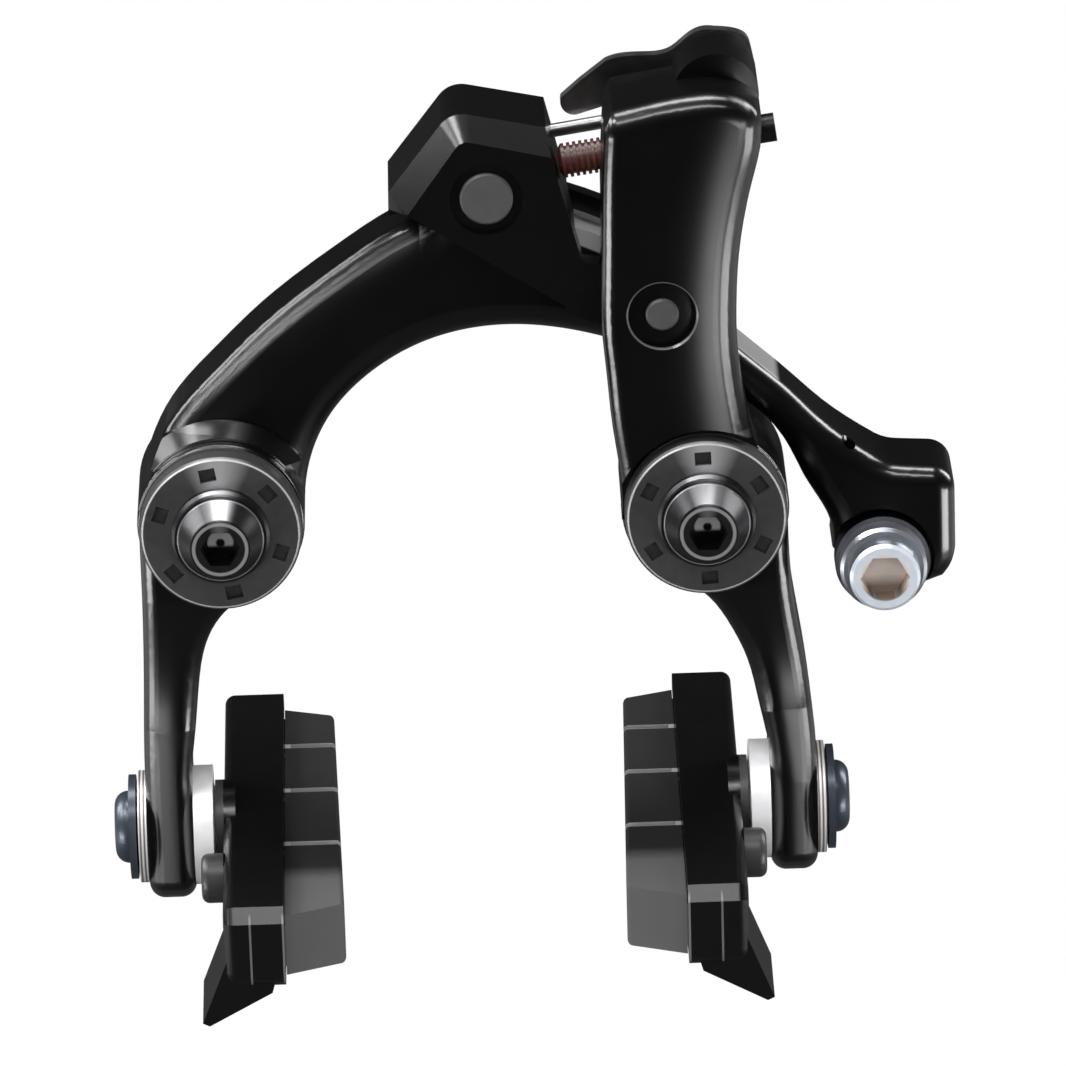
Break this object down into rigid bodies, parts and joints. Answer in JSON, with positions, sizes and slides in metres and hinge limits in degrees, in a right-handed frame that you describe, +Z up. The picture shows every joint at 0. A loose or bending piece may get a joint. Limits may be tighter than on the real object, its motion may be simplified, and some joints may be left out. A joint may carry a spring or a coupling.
{
  "type": "rim brake caliper",
  "caption": "Direct mount rim brake caliper: an arch arm and an upright arm turn on frame bosses, share a roller link and press cartridge shoes on the rim.",
  "frame": {"origin": "midway between the mounting bolts, in the plane of the frame's bosses that the pivot bushes sit on", "axes": "+X to the right seen from the front, +Y into the frame along the mounting bolts, +Z up, away from the brake shoes"},
  "size_m": [0.0992, 0.0554, 0.1083],
  "materials": {
    "arm_black": "gloss",
    "block_black": "satin",
    "pad_rubber": "matte",
    "dark_steel": "satin",
    "blued_steel": "gloss",
    "bright_steel": "satin",
    "spring_steel": "satin",
    "locked_screw": "satin"
  },
  "bodies": {
    "mount": {"mounting_bolts": "dark_steel", "bolt_washers": "dark_steel", "pivot_bush_left": "bright_steel", "rear_washer_left": "bright_steel", "front_washer_left": "bright_steel", "ring_nut_left": "dark_steel", "return_spring_left": "spring_steel", "pivot_bush_right": "bright_steel", "rear_washer_right": "bright_steel", "front_washer_right": "bright_steel", "ring_nut_right": "dark_steel", "return_spring_right": "spring_steel"},
    "left_arm": {"left_arm": "arm_black", "hub_sleeve_left": "bright_steel"},
    "right_arm": {"right_arm": "arm_black", "hub_sleeve_right": "bright_steel", "link_pin": "dark_steel", "link_spring": "spring_steel", "spring_plate": "bright_steel", "plate_screw": "bright_steel"},
    "link": {"link_block": "block_black", "roller_axle": "dark_steel"},
    "roller": {"roller": "dark_steel"},
    "centering_screw": {"centering_screw": "locked_screw"},
    "clamp_plate": {"clamp_plate": "bright_steel"},
    "clamp_bolt": {"clamp_bolt": "bright_steel"},
    "shoe_slide_left": {"shoe_spacer_left": "bright_steel", "cup_washer_left": "bright_steel"},
    "shoe_tilt_left": {"ball_washer_left": "dark_steel", "dome_washer_left": "blued_steel"},
    "shoe_left": {"shoe_holder_left": "block_black", "shoe_bolt_left": "blued_steel", "pad_screw_left": "dark_steel"},
    "pad_left": {"brake_pad_left": "pad_rubber"},
    "shoe_slide_right": {"shoe_spacer_right": "bright_steel", "cup_washer_right": "bright_steel"},
    "shoe_tilt_right": {"ball_washer_right": "dark_steel", "dome_washer_right": "blued_steel"},
    "shoe_right": {"shoe_holder_right": "block_black", "shoe_bolt_right": "blued_steel", "pad_screw_right": "dark_steel"},
    "pad_right": {"brake_pad_right": "pad_rubber"}
  },
  "joints": [
    {"name": "left_arm_pivot", "type": "hinge", "parent": "mount", "child": "left_arm", "pos_m": [-0.028, -0.0092, 0], "axis": [0, -1, 0], "range_deg": [0, 8], "stiffness_Nm_per_rad": 0.144, "springref_deg": -126.05, "deforming": ["return_spring_left"]},
    {"name": "right_arm_pivot", "type": "hinge", "parent": "mount", "child": "right_arm", "pos_m": [0.028, -0.0092, 0], "axis": [0, 1, 0], "range_deg": [0, 8], "stiffness_Nm_per_rad": 0.144, "springref_deg": -126.05, "deforming": ["return_spring_right"]},
    {"name": "screw_slide", "type": "slide", "parent": "right_arm", "child": "centering_screw", "axis": [0.9912, 0, 0.1323], "range_m": [0, 0.0007]},
    {"name": "link_tilt", "type": "hinge", "parent": "right_arm", "child": "link", "pos_m": [0.0235, -0.0144, 0.0245], "axis": [0, 1, 0], "range_deg": [0, 2.1], "deforming": ["link_spring"]},
    {"name": "roller_spin", "type": "hinge", "parent": "link", "child": "roller", "pos_m": [0.0038, -0.0079, 0.0382], "axis": [0, 1, 0], "range_deg": [0, 176.9]},
    {"name": "clamp_turn", "type": "hinge", "parent": "clamp_plate", "child": "clamp_bolt", "pos_m": [0.0485, -0.0168, -0.0082], "axis": [0, -1, 0], "range_deg": [0, 540]},
    {"name": "clamp_slide", "type": "slide", "parent": "left_arm", "child": "clamp_plate", "axis": [0, -1, 0], "range_m": [0, 0.0012]},
    {"name": "shoe_height_left", "type": "slide", "parent": "left_arm", "child": "shoe_slide_left", "axis": [0, 0, 1], "range_m": [-0.0008, 0.0036]},
    {"name": "shoe_toe_left", "type": "hinge", "parent": "shoe_slide_left", "child": "shoe_tilt_left", "pos_m": [-0.03545, -0.01, -0.04], "axis": [0, 0, 1], "range_deg": [-2, 2]},
    {"name": "shoe_pitch_left", "type": "hinge", "parent": "shoe_tilt_left", "child": "shoe_left", "pos_m": [-0.03545, -0.01, -0.04], "axis": [1, 0, 0], "range_deg": [-8, 8]},
    {"name": "pad_slide_left", "type": "slide", "parent": "shoe_left", "child": "pad_left", "axis": [0, 0.993, 0.1184], "range_m": [0, 0.055]},
    {"name": "shoe_height_right", "type": "slide", "parent": "right_arm", "child": "shoe_slide_right", "axis": [0, 0, 1], "range_m": [-0.0008, 0.0036]},
    {"name": "shoe_toe_right", "type": "hinge", "parent": "shoe_slide_right", "child": "shoe_tilt_right", "pos_m": [0.03765, -0.01, -0.039], "axis": [0, 0, 1], "range_deg": [-2, 2]},
    {"name": "shoe_pitch_right", "type": "hinge", "parent": "shoe_tilt_right", "child": "shoe_right", "pos_m": [0.03765, -0.01, -0.039], "axis": [1, 0, 0], "range_deg": [-8, 8]},
    {"name": "pad_slide_right", "type": "slide", "parent": "shoe_right", "child": "pad_right", "axis": [0, 0.993, 0.1184], "range_m": [0, 0.055]}
  ],
  "couplings": [
    {"joint": "right_arm_pivot", "follows": "left_arm_pivot", "ratio": 1},
    {"joint": "roller_spin", "follows": "left_arm_pivot", "ratio": 22.1},
    {"joint": "link_tilt", "follows": "screw_slide", "rad_per_m": 52},
    {"joint": "clamp_turn", "follows": "clamp_slide", "rad_per_m": 7853.9}
  ]
}
